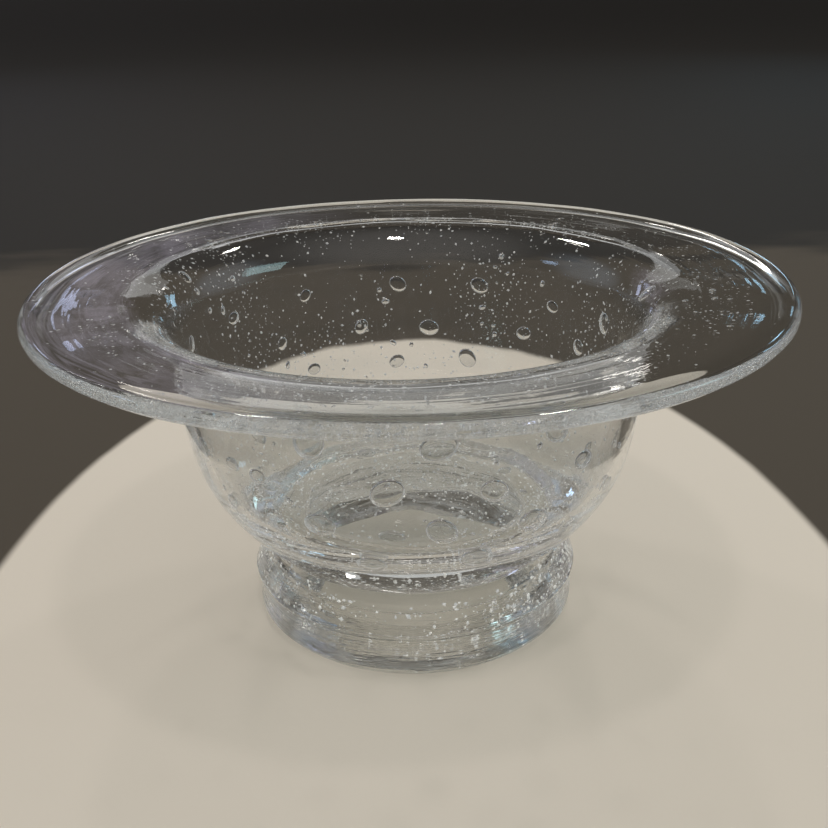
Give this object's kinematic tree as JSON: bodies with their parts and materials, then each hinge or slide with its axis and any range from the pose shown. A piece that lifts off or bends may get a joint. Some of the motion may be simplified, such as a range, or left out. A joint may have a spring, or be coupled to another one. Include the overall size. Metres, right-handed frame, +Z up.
{
  "type": "footed glass bowl",
  "caption": "Footed bowl in clear hand-blown bubble glass, with a deep round body, a wide flat brim with a rounded lip, and a thick ring foot.",
  "frame": {"origin": "middle of the foot's resting face, on the plane it stands on", "axes": "+Z up along the turning axis of the bowl; X and Y lie in the plane it stands on"},
  "size_m": [0.25, 0.25, 0.121],
  "materials": {
    "bowl_glass": "clear hand-blown glass full of fine seeds and rows of larger bubbles, fire-polished",
    "foot_glass": "thick clear glass with seeds and fine tooling lines, fire-polished"
  },
  "bodies": {
    "root": {"bowl": "bowl_glass", "foot": "foot_glass"}
  },
  "joints": []
}
